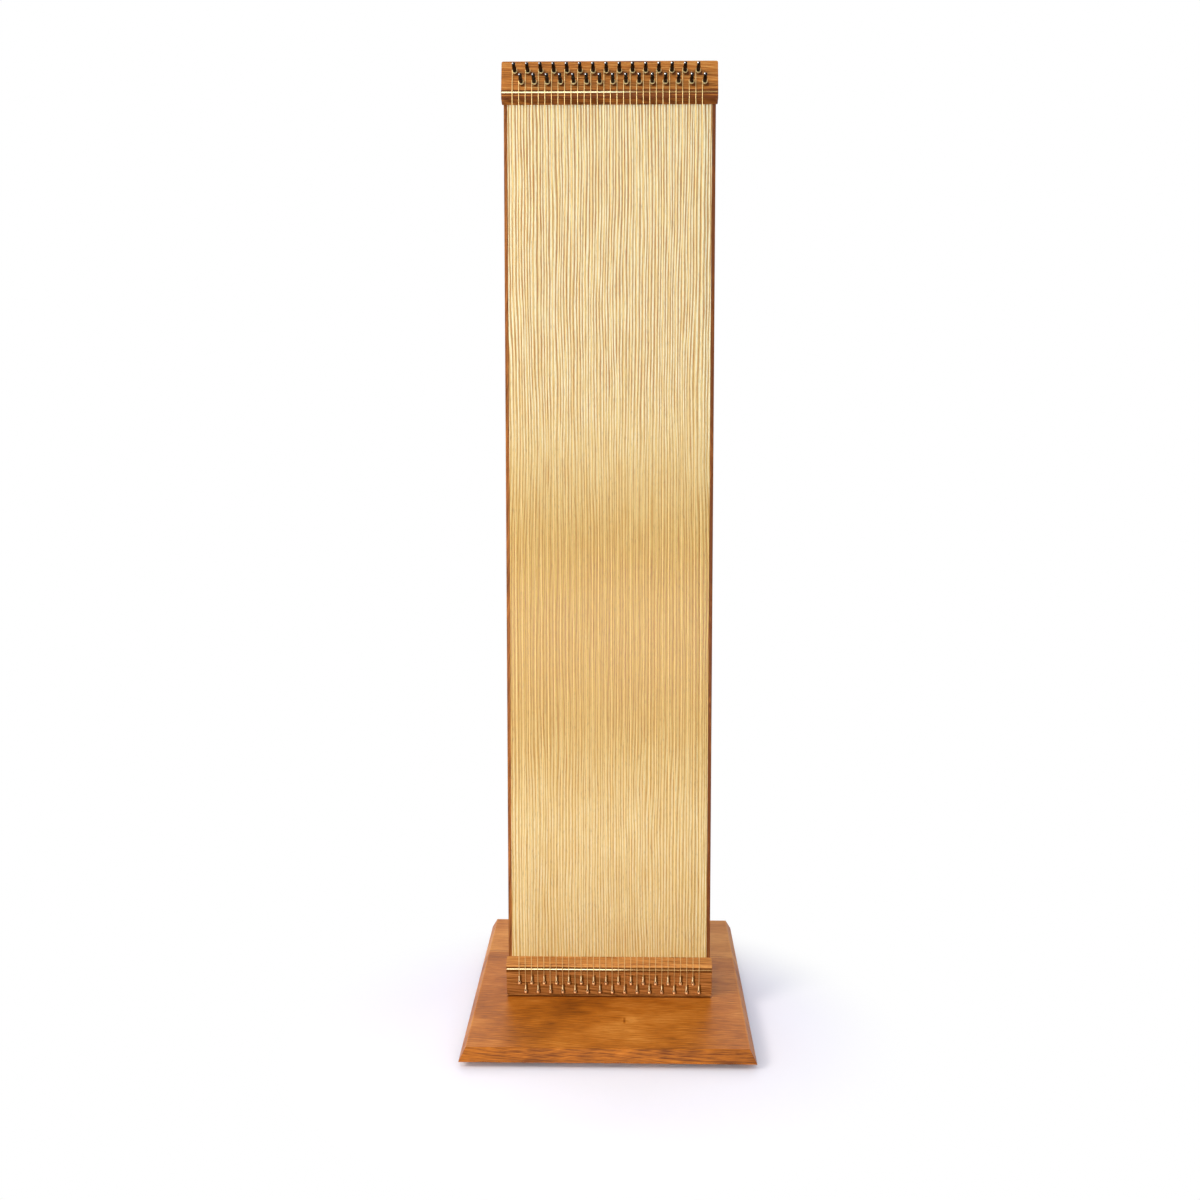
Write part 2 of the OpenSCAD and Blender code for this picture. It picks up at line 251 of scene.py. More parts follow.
# 1 within half of the place on each axis named, fading to 0 over soft; where is axis: (place, half, soft),
# and a fourth number repeats the place at that spacing; a key such as "X ends" is one more band on X
def inBand(tree, axes, where):
    share = None
    for axis, (place, half, soft, *every) in where.items():
        away = addNode(tree, "Math", {0: axes[axis[0]], 1: place}, operation="SUBTRACT")
        if every:
            away = addNode(tree, "Math", {0: away, 1: every[0] / 2}, operation="PINGPONG")
        away = addNode(tree, "Math", {0: away}, operation="ABSOLUTE")
        part = addNode(tree, "MapRange", {
            "Value": away, "From Min": half, "From Max": half + soft, "To Min": 1.0, "To Max": 0.0},
            interpolation_type="SMOOTHSTEP")
        share = part if share is None else addNode(tree, "Math", {0: share, 1: part}, operation="MULTIPLY")
    return share


# a noise stretched along the grain, length by width in mm
def streaks(tree, inMm, length, width, detail, **settings):
    size = (1 / length, 1 / width, 1 / width)
    spread = addNode(tree, "VectorMath", {0: inMm, 1: size}, operation="MULTIPLY")
    return addNode(tree, "TexNoise", {"Vector": spread, "Scale": 1.0, "Detail": detail}, **settings)


# the two boards of the base meet at a slight slant; S is Y measured from that slant
boardEnd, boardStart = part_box("base_front_board")[1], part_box("base_rear_board")[0]
seamY = (boardEnd.y + boardStart.y) / 2 / mm
seamSlope = (boardEnd.y - boardStart.y) / (boardEnd.x - boardStart.x)


# marks are places on the piece, in mm, that are darker or paler than the rest
def makeWood(name, wood, grain="X", shift=(0.0, 0.0, 0.0), tone=0.0, marks=()):
    material, tree = newMaterial(name)
    coords = tree.nodes.new("ShaderNodeTexCoord").outputs["Object"]
    places = addNode(tree, "VectorMath", {0: coords, "Scale": 1000.0}, operation="SCALE")
    addNode(tree, "SeparateXYZ", {0: places})
    axes = {axis: tree.nodes[-1].outputs[axis] for axis in "XYZ"}
    axes["S"] = addNode(tree, "Math", {0: axes["X"], 1: seamSlope, 2: axes["Y"]}, operation="MULTIPLY_ADD")
    turn = (0, math.pi / 2, 0) if grain == "Z" else (0, 0, 0)
    inMm = addNode(tree, "Mapping", {"Vector": places, "Rotation": turn, "Location": shift})

    # a trunk is never straight, so the rings bend slowly and quiver a little
    heartY, heartZ = wood["heart"]
    across = addNode(tree, "VectorMath", {0: inMm, 1: (0, 1, 1), 2: (0, -heartY, -heartZ)},
                     operation="MULTIPLY_ADD")
    addNode(tree, "VectorMath", {0: across}, operation="LENGTH")
    bent = tree.nodes[-1].outputs["Value"]
    along = addNode(tree, "SeparateXYZ", {0: inMm})
    bent = addNode(tree, "Math", {0: along, 1: wood.get("slope", 0.0), 2: bent}, operation="MULTIPLY_ADD")
    for reach, length, width in (wood["bend"], wood["quiver"]):
        bent = addNode(tree, "Math", {0: streaks(tree, inMm, length, width, 1.0), 1: reach, 2: bent},
                       operation="MULTIPLY_ADD")

    # each year is a pale band and a dark line, and no two are as wide
    years = addNode(tree, "Math", {0: bent, 1: 1 / wood["ring"]}, operation="MULTIPLY")
    uneven = addNode(tree, "TexNoise", {"W": years, "Scale": 0.22, "Detail": 2.0}, noise_dimensions="1D")
    phase = addNode(tree, "Math", {0: uneven, 1: wood["jitter"], 2: years}, operation="MULTIPLY_ADD")
    wave = addNode(tree, "Math", {0: phase, 1: 2 * math.pi}, operation="MULTIPLY")
    wave = addNode(tree, "Math", {0: wave}, operation="SINE")
    drift = addNode(tree, "TexNoise", {"W": years, "Scale": 1.0, "Detail": 3.0, "Roughness": 0.65},
                    noise_dimensions="1D")
    even = wood["ringEven"]
    rings = addNode(tree, "Math", {0: wave, 1: 0.25 * even, 2: 0.5 * even}, operation="MULTIPLY_ADD")
    rings = addNode(tree, "Math", {0: drift, 1: 1 - even, 2: rings}, operation="MULTIPLY_ADD")

    # fibres make fine streaks along the grain, and blotches a slow change of tone
    fibres = streaks(tree, inMm, *wood["fibre"], 2.0)
    blotch = streaks(tree, inMm, *wood["blotch"], 2.0)
    lines = addNode(tree, "Math", {0: rings, 1: wood["ringContrast"], 2: -0.5 * wood["ringContrast"]},
                    operation="MULTIPLY_ADD")
    lines = addNode(tree, "Math", {0: fibres, 1: wood["fibreContrast"], 2: lines}, operation="MULTIPLY_ADD")
    lines = addNode(tree, "Math", {0: lines, 1: 0.5 * wood["fibreContrast"]}, operation="SUBTRACT")
    if wood.get("faint"):
        faint = inBand(tree, axes, wood["faint"]["where"])
        less = wood["faint"]["share"] - 1
        keep = addNode(tree, "Math", {0: faint, 1: less, 2: 1.0}, operation="MULTIPLY_ADD")
        lines = addNode(tree, "Math", {0: lines, 1: keep}, operation="MULTIPLY")
    base = 0.5 + tone - 0.5 * wood["blotchContrast"]
    shade = addNode(tree, "Math", {0: blotch, 1: wood["blotchContrast"], 2: base}, operation="MULTIPLY_ADD")
    shade = addNode(tree, "Math", {0: lines, 1: shade}, operation="ADD")
    for mark in marks:
        here = inBand(tree, axes, mark["where"])
        shade = addNode(tree, "Math", {0: here, 1: mark["tone"], 2: shade}, operation="MULTIPLY_ADD")
    low, middle, high = wood["stops"]
    colour = addNode(tree, "ValToRGB", {"Fac": shade}, stops=[
        (low, toLinear(wood["dark"])), (high, toLinear(wood["light"])), (middle, toLinear(wood["mid"]))])

    # pores are short dark dashes along the fibres
    poreNoise = streaks(tree, inMm, *wood["pore"], 1.0)
    poreFrom, poreTo = 0.56, 0.72                # only the peaks of the noise are pores
    pores = addNode(tree, "MapRange", {"Value": poreNoise, "From Min": poreFrom, "From Max": poreTo})
    poreDark = addNode(tree, "Math", {0: pores, 1: -wood["poreDark"], 2: 1.0}, operation="MULTIPLY_ADD")
    colour = addNode(tree, "VectorMath", {0: colour, "Scale": poreDark}, operation="SCALE")
    if wood.get("tint"):
        yellow = inBand(tree, axes, wood["tint"]["where"])
        tinted = addNode(tree, "MixRGB", {0: yellow, 1: (1, 1, 1, 1), 2: toLinear(wood["tint"]["colour"])})
        colour = addNode(tree, "VectorMath", {0: colour, 1: tinted}, operation="MULTIPLY")

    rough = addNode(tree, "Math", {0: fibres, 1: 0.12, 2: wood["rough"] - 0.06}, operation="MULTIPLY_ADD")
    height = addNode(tree, "Math", {0: pores, 1: -0.7, 2: fibres}, operation="MULTIPLY_ADD")
    bump = addNode(tree, "Bump", {"Height": height, "Strength": 0.5, "Distance": wood["bump"] * mm})
    shader = addNode(tree, "BsdfPrincipled", {
        "Base Color": colour, "Roughness": rough, "IOR": 1.5, "Specular IOR Level": wood["shine"],
        "Normal": bump})
    addNode(tree, "OutputMaterial", {"Surface": shader})
    return material


def middleZ(node):
    low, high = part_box(node)
    return (low.z + high.z) / 2 / mm


# the land is the flat under a rod; painted shade darkens the wood along both sides of the rod, and painted
# light and shade lie on the land's edge and on the rail's faces
railLook = {
    "landHalf": 4.5, "bevelHalf": 30.0, "wedgeHalf": 50.0, "soft": 1.2,
    "rodShadeAway": 2.3, "rodShadeTone": -0.9, "foldAway": 1.5,
}
# painted light and shade on each rail: bevel and wedge are lighter or darker for the way each face turns to
# the light, edge is a painted highlight on the land's edge on the bevel side, and fold is a painted shade
# line just past it
topRailLightAndShade = {"rod": "top_bridge_rod", "bevel": -0.2, "wedge": 0.11, "edge": 0.0, "fold": -0.6}
lowRailLightAndShade = {"rod": "bottom_bridge_rod", "bevel": 0.06, "wedge": -0.12, "edge": 0.5, "fold": 0.0}


def paintedRailShading(node, shading):
    look = railLook
    rodZ = middleZ(shading["rod"])
    toPins = 1 if middleZ(node) > rodZ else -1      # the side on which the pins stand
    edgeZ = rodZ - toPins * look["landHalf"]
    foldZ = rodZ - toPins * (look["landHalf"] + look["foldAway"])
    bevelZ = rodZ - toPins * (look["landHalf"] + look["bevelHalf"])
    wedgeZ = rodZ + toPins * (look["landHalf"] + look["wedgeHalf"])
    # two lines of painted shade along the rod, then the painted light and shade of bevel, wedge, edge and
    # fold
    return [
        {"tone": look["rodShadeTone"], "where": {"Z": (rodZ + look["rodShadeAway"], 0.4, 0.6)}},
        {"tone": look["rodShadeTone"], "where": {"Z": (rodZ - look["rodShadeAway"], 0.4, 0.6)}},
        {"tone": shading["bevel"], "where": {"Z": (bevelZ, look["bevelHalf"], look["soft"])}},
        {"tone": shading["wedge"], "where": {"Z": (wedgeZ, look["wedgeHalf"], look["soft"])}},
        {"tone": shading["edge"], "where": {"Z": (edgeZ, 0.5, 0.7)}},
        {"tone": shading["fold"], "where": {"Z": (foldZ, 0.8, look["soft"])}},
    ]


# painted shadows fall to the lower right of the pins' feet and beside the twists; right and down are from the
# foot, in mm
tuningPinShadow = {"right": 2.4, "down": 2.4, "halfX": 1.8, "halfZ": 1.6, "tone": -0.6}
hitchPinShadow = {"right": 0.9, "down": 0.6, "halfX": 1.7, "halfZ": 1.7, "tone": -0.8}
twistShadow = {"right": 1.9, "down": -6.0, "halfX": 0.3, "halfZ": 4.0, "tone": -0.6}


# a painted shadow beside each pin of a row: every other pin is in the same row, and the mark stops past the
# last pin
def pinShadowMark(pin, z, look):
    firstX, nextX, lastX = (joints[k]["pos_m"][0] / mm for k in (pin, pin + 2, pin - 2))
    pastEnd = 6
    return {"tone": look["tone"], "where": {
        "X": (firstX + look["right"], look["halfX"], 1.4, nextX - firstX),
        "Z": (z - look["down"], look["halfZ"], 1.6),
        "X ends": ((firstX + lastX) / 2, (lastX - firstX) / 2 + pastEnd, 1.0)}}


# the bottom rail's face leans, so its foot lies behind its land by the slope of the pins
railLow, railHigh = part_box("bottom_pin_rail")
axisOut, axisUp = -joints[0]["axis"][1], joints[0]["axis"][2]
railDrop = middleZ("bottom_bridge_rod") - railLook["landHalf"] - railLow.z / mm
railFoot = railLow.y / mm + railDrop * axisUp / axisOut
plateFront = cadBox[0].y / mm
plateHigh = cadBox[1]
plateBevel = 8
plateMarks = [
    # painted shade in the corner by the rail, and painted shade on the front bevel
    {"tone": -0.9, "where": {"Y": (railFoot - 0.6, 0.6, 1.6), "X": (0.0, railHigh.x / mm - 1, 2.0)}},
    {"tone": -0.14, "where": {"Y": (plateFront, 7.5, 1.5)}},
    # a small check in a knot, the knot, and the pale wood beside it
    {"tone": -0.4, "where": {"X": (20.0, 0.5, 1.6), "Y": (-135.0, 4.0, 7.0)}},
    {"tone": -0.2, "where": {"X": (21.0, 1.5, 5.0), "Y": (-136.0, 1.5, 4.0)}},
    {"tone": 0.22, "where": {"X": (26.0, 3.0, 9.0), "Y": (-134.0, 3.0, 9.0)}},
]
# painted highlights on the arrises above the side bevels, short of the corners
arrisX = plateHigh.x / mm - plateBevel
arrisHalf = plateHigh.y / mm - 10
edgeHighlights = [{"tone": 0.16, "where": {"X": (side * arrisX, 0.4, 1.6), "Y": (0.0, arrisHalf, 2.0)}}
             for side in (-1, 1)]
# at the glue joint, a painted highlight on the front board and a dark joint line on the rear one
plateMarks += edgeHighlights + [{"tone": 0.5, "where": {"S": (seamY - 1.1, 0.8, 0.9)}}]
rearMarks = edgeHighlights + [{"tone": -0.5, "where": {"S": (seamY + 0.5, 0.4, 0.9)}}]
# the plate's fibres are drawn twice as wide as they are in the other cherry, so that they show
plateCherry = dict(cherry, fibre=(21.0, 2.3), fibreContrast=0.85, ringContrast=0.55, jitter=2.5,
                   blotch=(75.0, 48.0), blotchContrast=1.1, shine=0.1)
railCherry = dict(cherry, ringContrast=0.8, fibreContrast=1.2, blotchContrast=0.4, shine=0.12,
                  mid="ae6a2a", light="cb9350")
lowCherry = dict(railCherry, dark="63380f", mid="ac6e38", light="d09350")
sideCherry = dict(cherry, mid="a8672e", light="c68c4e", fibre=(60.0, 1.3), fibreContrast=1.1,
                  ringContrast=0.5, blotchContrast=0.35)
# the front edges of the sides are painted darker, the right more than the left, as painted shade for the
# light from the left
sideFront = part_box("right_side")[0].y / mm
leftRimShade = [{"tone": -0.12, "where": {"Y": (sideFront, 1.5, 3.0)}}]
rightRimShade = [{"tone": -0.33, "where": {"Y": (sideFront, 1.5, 3.0)}}]
backAsh = dict(ash, mid="c4a26c", ringContrast=1.4, faint=None, tint=None)
topRailShadeMarks = paintedRailShading("top_pin_rail", topRailLightAndShade)
lowRailShadeMarks = paintedRailShading("bottom_pin_rail", lowRailLightAndShade)
hitchDrop = 1.5                                  # the feet lie this far below the middle of a sloping pin
for pin, hitchRow in ((0, "upper_hitch_pins"), (1, "lower_hitch_pins")):
    topRailShadeMarks.append(pinShadowMark(pin, joints[pin]["pos_m"][2] / mm, tuningPinShadow))
    footZ = middleZ(hitchRow) - hitchDrop
    lowRailShadeMarks.append(pinShadowMark(pin, footZ, hitchPinShadow))
    lowRailShadeMarks.append(pinShadowMark(pin, footZ, twistShadow))

# Cherry, planed and oiled: warm orange-brown with faint lines and a soft sheen
plateWood = makeWood("oiled cherry, front board", plateCherry, tone=-0.04, marks=plateMarks)
# the rear board is painted lighter than the front one, as painted light from behind
rearWood = makeWood("oiled cherry, rear board", plateCherry, shift=(300, 75, 4), tone=0.2, marks=rearMarks)
topRailWood = makeWood("oiled cherry, top rail", railCherry, shift=(120, 40, -30), tone=-0.1, marks=topRailShadeMarks)
lowRailWood = makeWood("oiled cherry, bottom rail", lowCherry, shift=(-210, 12, 250), tone=0.04,
                       marks=lowRailShadeMarks)
leftWood = makeWood("oiled cherry, left side", sideCherry, grain="Z", tone=-0.1, marks=leftRimShade)
rightWood = makeWood("oiled cherry, right side", sideCherry, grain="Z", shift=(400, 0, 0), tone=-0.12,
                     marks=rightRimShade)
# Ash, sanded and lacquered: cream bands between fine tan lines, with a half-gloss shine
boardWood = makeWood("lacquered ash, front", ash, grain="Z")
backWood = makeWood("lacquered ash, back", backAsh, grain="Z", shift=(150, 0, 0))
# Beech, sawn and left bare: even pinkish tan with short dark flecks, quite dull
blockWood = makeWood("bare beech", beech)
# Spruce, planed and left bare: pale straw with straight close lines
lengthSpruce = makeWood("bare spruce, upright", spruce, grain="Z")
crossSpruce = makeWood("bare spruce, across", spruce)
dress(["base_front_board"], plateWood)
dress(["base_rear_board"], rearWood)
dress(["top_pin_rail", "top_cap"], topRailWood)
dress(["bottom_pin_rail"], lowRailWood)
dress(["left_side"], leftWood)
dress(["right_side"], rightWood)
dress(["soundboard"], boardWood)
dress(["back_panel"], backWood)
dress(["top_pin_block", "bottom_end_block"], blockWood)
dress(["front_linings", "back_linings"], lengthSpruce)
dress(["soundboard_braces", "back_braces"], crossSpruce)
print("woods made")


# metals and rubber

# lengths in mm: scratch is length and width of the fine marks, stain the size of the dull patches
polishedBrass = {
    "colour": "ddd2a8", "stainColour": "80521a", "stain": 9.0, "stainShare": 0.2, "rough": 0.13,
    "scratch": (14.0, 0.3), "scratchDepth": 0.004, "lie": "X", "metallic": 1.0,
}
drawnBronze = {
    "colour": "efd394", "stainColour": "d9b06c", "stain": 30.0, "stainShare": 0.3, "rough": 0.34,
    "scratch": (8.0, 0.12), "scratchDepth": 0.004, "lie": "Z", "metallic": 0.6,
}
# a paler copy of the wire, as painted light on the twisted ends
paintedLightBronze = dict(drawnBronze, colour="fde6b4", stainColour="ecc47e", rough=0.28)
copperPlate = {
    "colour": "f2be88", "stainColour": "a56c38", "stain": 1.6, "stainShare": 0.3, "rough": 0.32,
    "scratch": (0.8, 0.2), "scratchDepth": 0.003, "lie": "X", "metallic": 1.0,
}
bluedSteel = {
    "colour": "1f1e21", "stainColour": "110f0d", "stain": 3.0, "stainShare": 0.5, "rough": 0.14,
    "scratch": (6.0, 0.25), "scratchDepth": 0.001, "lie": "Z", "metallic": 1.0,
}
# the painted highlight on the pins' tips: where the near-white patch lies, its size, edge and colour
tipHighlight = {"place": (-1.3, 0.2, 21.6), "reach": 0.8, "soft": 0.5, "ragged": 0.5, "colour": "f2f5fb"}
rodShadeEnd = {"middle": 15.0, "half": 25.0, "share": 0.9}    # where the rod is painted darker and duller along X, a painted shade for the reflection it lacks on the right, and how far
zincPlate = {
    "colour": "b9bcc0", "stainColour": "8d9092", "stain": 1.4, "stainShare": 0.5, "rough": 0.34,
    "scratch": (2.0, 0.2), "scratchDepth": 0.005, "lie": "X", "metallic": 1.0,
}


def makeMetal(name, metal, dull=None, highlightPatch=None):
    material, tree = newMaterial(name)
    coords = tree.nodes.new("ShaderNodeTexCoord").outputs["Object"]
    places = addNode(tree, "VectorMath", {0: coords, "Scale": 1000.0}, operation="SCALE")
    length, width = metal["scratch"]
    size = {"X": (1 / length, 1 / width, 1 / width), "Z": (1 / width, 1 / width, 1 / length)}[metal["lie"]]
    scratchPlaces = addNode(tree, "VectorMath", {0: places, 1: size}, operation="MULTIPLY")
    scratches = addNode(tree, "TexNoise", {"Vector": scratchPlaces, "Scale": 1.0, "Detail": 2.0})
    stainNoise = addNode(tree, "TexNoise", {"Vector": places, "Scale": 1 / metal["stain"], "Detail": 3.0})
    stainFrom, stainTo = 0.42, 0.68              # levels of the noise between which a stain builds up
    stains = addNode(tree, "MapRange", {
        "Value": stainNoise, "From Min": stainFrom, "From Max": stainTo, "To Max": metal["stainShare"]})
    if dull:
        # painted shade: the stained colour grows along X
        addNode(tree, "SeparateXYZ", {0: places})
        paintedRodShade = addNode(tree, "MapRange", {
            "Value": tree.nodes[-1].outputs["X"], "From Min": dull["middle"] - dull["half"],
            "From Max": dull["middle"] + dull["half"], "To Max": dull["share"]},
            interpolation_type="SMOOTHSTEP")
        stains = addNode(tree, "Math", {0: stains, 1: paintedRodShade}, operation="MAXIMUM")
    clean, stained = toLinear(metal["colour"]), toLinear(metal["stainColour"])
    colour = addNode(tree, "MixRGB", {0: stains, 1: clean, 2: stained})
    if highlightPatch:
        # painted highlight: a near-white patch on the tip's upper left
        away = addNode(tree, "VectorMath", {0: places, 1: highlightPatch["place"]}, operation="SUBTRACT")
        addNode(tree, "VectorMath", {0: away}, operation="LENGTH")
        away = tree.nodes[-1].outputs["Value"]
        away = addNode(tree, "Math", {0: scratches, 1: highlightPatch["ragged"], 2: away}, operation="MULTIPLY_ADD")
        patch = addNode(tree, "MapRange", {
            "Value": away, "From Min": highlightPatch["reach"], "From Max": highlightPatch["reach"] + highlightPatch["soft"],
            "To Min": 1.0, "To Max": 0.0})
        colour = addNode(tree, "MixRGB", {0: patch, 1: colour, 2: toLinear(highlightPatch["colour"])})
    rough = addNode(tree, "Math", {0: scratches, 1: 0.5 * metal["rough"], 2: 0.75 * metal["rough"]},
                    operation="MULTIPLY_ADD")
    rough = addNode(tree, "Math", {0: stains, 1: 0.15, 2: rough}, operation="MULTIPLY_ADD")
    depth = metal["scratchDepth"] * mm
    bump = addNode(tree, "Bump", {"Height": scratches, "Strength": 0.6, "Distance": depth})
    shader = addNode(tree, "BsdfPrincipled", {
        "Base Color": colour, "Metallic": metal["metallic"], "Roughness": rough, "Normal": bump})
    addNode(tree, "OutputMaterial", {"Surface": shader})
    return material


rubber = {"colour": "211f1e", "rough": 0.62, "pebble": 0.7, "pebbleDepth": 0.05}


def makeRubber(look):
    material, tree = newMaterial("moulded black rubber")
    coords = tree.nodes.new("ShaderNodeTexCoord").outputs["Object"]
    pebbles = addNode(tree, "TexNoise", {"Vector": coords, "Scale": 1000 / look["pebble"], "Detail": 3.0})
    rough = addNode(tree, "Math", {0: pebbles, 1: 0.2, 2: look["rough"] - 0.1}, operation="MULTIPLY_ADD")
    bump = addNode(tree, "Bump", {"Height": pebbles, "Strength": 0.7, "Distance": look["pebbleDepth"] * mm})
    shader = addNode(tree, "BsdfPrincipled", {
        "Base Color": toLinear(look["colour"]), "Roughness": rough, "IOR": 1.52, "Specular IOR Level": 0.4,
        "Normal": bump})
    addNode(tree, "OutputMaterial", {"Surface": shader})
    return material


# Brass rod, drawn and polished: a sharp pale gold line of light, with painted shade making it duller towards
# the right
brass = makeMetal("polished brass rod", polishedBrass, dull=rodShadeEnd)
# Phosphor bronze wire, drawn: a fine gold line, softer than polished brass
bronze = makeMetal("drawn phosphor bronze wire", drawnBronze)
# The same wire where it is twisted, in a paler copy that paints light on the twists
brightBronze = makeMetal("bright bronze wire ends", paintedLightBronze)
# Steel pins, copper-plated: small warm beads with a hot spot
copper = makeMetal("copper-plated pins", copperPlate)
# Steel pins, blued in salts: nearly black, with a small hard highlight and a painted highlight patch on each
# tip
blued = makeMetal("blued steel pins", bluedSteel, highlightPatch=tipHighlight)
# Steel screws, zinc-plated: cold grey, a little cloudy
zinc = makeMetal("zinc-plated screws", zincPlate)
dress(["base_feet"], makeRubber(rubber))
print("metals and rubber made")


# rings of points along a path, each a circle of the given radius, closed at both ends
def sweepTube(path, radius, sides, verts, faces):
    base = len(verts)
    tangent = (path[1] - path[0]).normalized()
    side = tangent.orthogonal().normalized()
    for k, point in enumerate(path):
        ahead = path[min(k + 1, len(path) - 1)] - path[max(k - 1, 0)]
        if ahead.length > 0:
            newTangent = ahead.normalized()
            side = (side - newTangent * side.dot(newTangent)).normalized()
            tangent = newTangent
        other = tangent.cross(side)
        for j in range(sides):
            angle = 2 * math.pi * j / sides
            verts.append(point + radius * (math.cos(angle) * side + math.sin(angle) * other))
    for k in range(len(path) - 1):
        for j in range(sides):
            a = base + k * sides + j
            b = base + k * sides + (j + 1) % sides
            faces.append((a, b, b + sides, a + sides))
    faces.append(tuple(reversed(range(base, base + sides))))
    last = base + (len(path) - 1) * sides
    faces.append(tuple(range(last, last + sides)))


# rings are lists of vertex numbers, and one with a single number is a point on the axis
def joinRings(rings, sides, faces):
    for low, high in zip(rings, rings[1:]):
        for j in range(sides):
            n = (j + 1) % sides
            if len(low) == 1:
                faces.append((low[0], high[n], high[j]))
            elif len(high) == 1:
                faces.append((low[j], low[n], high[0]))
            else:
                faces.append((low[j], low[n], high[n], high[j]))


# profile is (radius, height) pairs from one end of the axis to the other
def lathe(profile, sides, place, verts, faces):
    rings = []
    for r, h in profile:
        if r == 0:
            rings.append([len(verts)])
            verts.append(place @ Vector((0, 0, h)))
            continue
        rings.append(range(len(verts), len(verts) + sides))
        for j in range(sides):
            angle = 2 * math.pi * j / sides
            verts.append(place @ Vector((r * math.cos(angle), r * math.sin(angle), h)))
    joinRings(rings, sides, faces)


# faceMaterials says which of the materials each face has, where there are two
def makePiece(name, verts, faces, materials, body, smoothAngle, place=Matrix(), faceMaterials=None):
    mesh = bpy.data.meshes.new(name)
    mesh.from_pydata([tuple(v) for v in verts], [], faces)
    for material in materials:
        mesh.materials.append(material)
    if faceMaterials:
        mesh.polygons.foreach_set("material_index", faceMaterials)
    mesh.shade_smooth()
    mesh.set_sharp_from_angle(angle=math.radians(smoothAngle))
    piece = bpy.data.objects.new(name, mesh)
    piece.matrix_world = place
    scene.collection.objects.link(piece)
    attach(piece, body)
    return piece


pinAxis = Vector(joints[0]["axis"])
lean = math.asin(pinAxis.z)                      # how far the pin rails' faces lean
pins = [(joint["child"], Vector(joint["pos_m"])) for joint in joints]

# turns round a tuning pin are counted from the side where the string leaves it
wire = {
    "radius": 0.4 * mm,          # 0.05 mm more than the real wire, so that it shows
    "coilRadius": 2.92 * mm,     # wire on a 5 mm pin
    "coilFoot": 1.95 * mm,       # height of the first turn above the rail
    "coilPitch": 0.86 * mm,
    "ownTurn": 0.94,             # the string's own turn, which stays behind when the pin turns
    "coilStart": 0.96,
    "coilEnd": 2.6,
    "coilClear": 0.03 * mm,      # room between the string's own turn and the turns on the pin
    "rodClear": 0.01 * mm,
    "twistLength": 8.0 * mm,
    "twistPitch": 1.7 * mm,
    "twistRadius": 0.48 * mm,
    "loopRadius": 1.42 * mm,
    "loopLift": 0.95 * mm,
    "sides": 8,
}
hitch = {
    "radius": 1.0 * mm, "tipRadius": 0.7 * mm, "tipHeight": 0.3 * mm, "depth": 18 * mm, "lift": 2.8 * mm,
    "neck": 0.15 * mm, "headRadius": 1.8 * mm, "rim": 0.25 * mm, "sides": 20,
}


def rodCentre(node):
    low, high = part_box(node)
    return Vector((0, (low.y + high.y) / 2, (low.z + high.z) / 2)), (high.z - low.z) / 2


# a hitch pin's foot on the rail's face, from its inner end
def hitchFoot(node, x):
    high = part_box(node)[1]
    y = high.y - hitch["depth"] * math.cos(lean) - hitch["radius"] * math.sin(lean)
    z = high.z - hitch["depth"] * math.sin(lean) - hitch["radius"] * math.cos(lean)
    return Vector((x, y, z))


# the wire's arc over a rod, from the side of one end of the wire to the upright run
def overRod(centre, radius, end, x):
    steps = 5
    forward, up = centre.y - end.y, end.z - centre.z
    reach = math.hypot(forward, up)
    away = math.atan2(up, forward)
    meet = math.acos(radius / reach)
    touch = away - meet if up > 0 else away + meet
    arc = []
    for k in range(steps + 1):
        angle = touch * (1 - k / steps)
        arc.append(Vector((x, centre.y - radius * math.cos(angle), centre.z + radius * math.sin(angle))))
    return arc


topRod, rodRadius = rodCentre("top_bridge_rod")
lowRod, _ = rodCentre("bottom_bridge_rod")
overRadius = rodRadius + wire["radius"] + wire["rodClear"]


# a place on the wire round a pin, wrap on from the side that the string leaves, and rise above its first turn
def coilPoint(wrap, rise, squeeze=1.0):
    angle = math.pi - wrap
    r = wire["coilRadius"] * squeeze
    return Vector((r * math.cos(angle), r * math.sin(angle), wire["coilFoot"] + rise))


def pinMatrix(foot):
    upFace = Vector((0, math.sin(lean), math.cos(lean)))
    turned = Matrix((Vector((1, 0, 0)), upFace, pinAxis)).transposed().to_4x4()
    return Matrix.Translation(foot) @ turned


def hitchMatrix(foot):
    upFace = Vector((0, -math.sin(lean), math.cos(lean)))
    out = Vector((0, -math.cos(lean), -math.sin(lean)))
    turned = Matrix((Vector((-1, 0, 0)), upFace, out)).transposed().to_4x4()
    return Matrix.Translation(foot) @ turned


